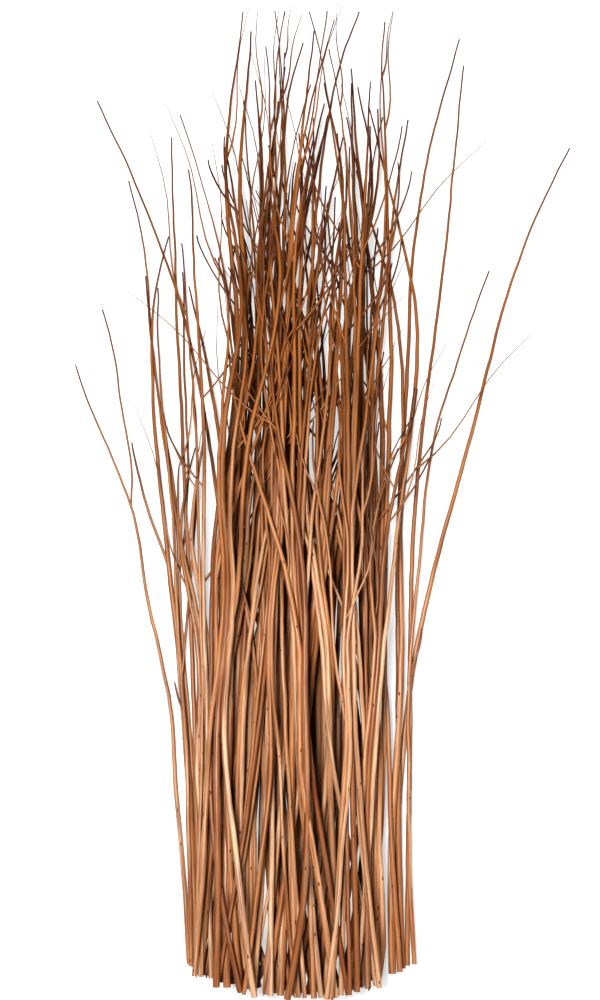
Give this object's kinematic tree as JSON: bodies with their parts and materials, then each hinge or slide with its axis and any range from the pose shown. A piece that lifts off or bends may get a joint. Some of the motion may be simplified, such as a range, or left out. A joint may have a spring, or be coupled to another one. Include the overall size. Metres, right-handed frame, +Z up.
{
  "type": "willow stem bunch",
  "caption": "Loose bunch of long, thin, peeled willow stems lying flat: trimmed butts at one end, forked shoots and fine tips at the other.",
  "frame": {"origin": "on the surface the bunch lies on, under the middle of its bounding box", "axes": "+Y along the bunch from the trimmed butts to the tips, +X to the right seen from above, +Z up from the surface"},
  "size_m": [0.6084, 1.1998, 0.1287],
  "materials": {
    "peeled_willow": "satin"
  },
  "bodies": {
    "root": {"stem_bent_right": "peeled_willow", "stem_bowed_left": "peeled_willow", "stem_cross_right": "peeled_willow", "stem_far_left": "peeled_willow", "stem_far_right": "peeled_willow", "stem_high_right": "peeled_willow", "stem_inner_right": "peeled_willow", "stem_long_left": "peeled_willow", "stem_mid_left": "peeled_willow", "stem_outer_left": "peeled_willow", "stem_short_left": "peeled_willow", "stem_tall_right": "peeled_willow", "stems_01": "peeled_willow", "stems_02": "peeled_willow", "stems_03": "peeled_willow", "stems_04": "peeled_willow", "stems_05": "peeled_willow", "stems_06": "peeled_willow", "stems_07": "peeled_willow", "stems_08": "peeled_willow", "stems_09": "peeled_willow", "stems_10": "peeled_willow", "stems_11": "peeled_willow", "stems_12": "peeled_willow", "stems_13": "peeled_willow", "stems_14": "peeled_willow", "stems_15": "peeled_willow", "stems_16": "peeled_willow", "stems_17": "peeled_willow", "stems_18": "peeled_willow", "stems_19": "peeled_willow", "stems_20": "peeled_willow", "stems_21": "peeled_willow", "stems_22": "peeled_willow", "stems_23": "peeled_willow", "stems_24": "peeled_willow", "stems_25": "peeled_willow", "stems_26": "peeled_willow", "stems_27": "peeled_willow", "stems_28": "peeled_willow", "stems_29": "peeled_willow", "stems_30": "peeled_willow", "stems_31": "peeled_willow", "stems_32": "peeled_willow", "stems_33": "peeled_willow", "stems_34": "peeled_willow", "stems_35": "peeled_willow", "stems_36": "peeled_willow", "stems_37": "peeled_willow", "stems_38": "peeled_willow", "stems_39": "peeled_willow", "stems_40": "peeled_willow", "stems_41": "peeled_willow", "stems_42": "peeled_willow", "stems_43": "peeled_willow", "stems_44": "peeled_willow", "stems_45": "peeled_willow", "stems_46": "peeled_willow", "stems_47": "peeled_willow"}
  },
  "joints": []
}
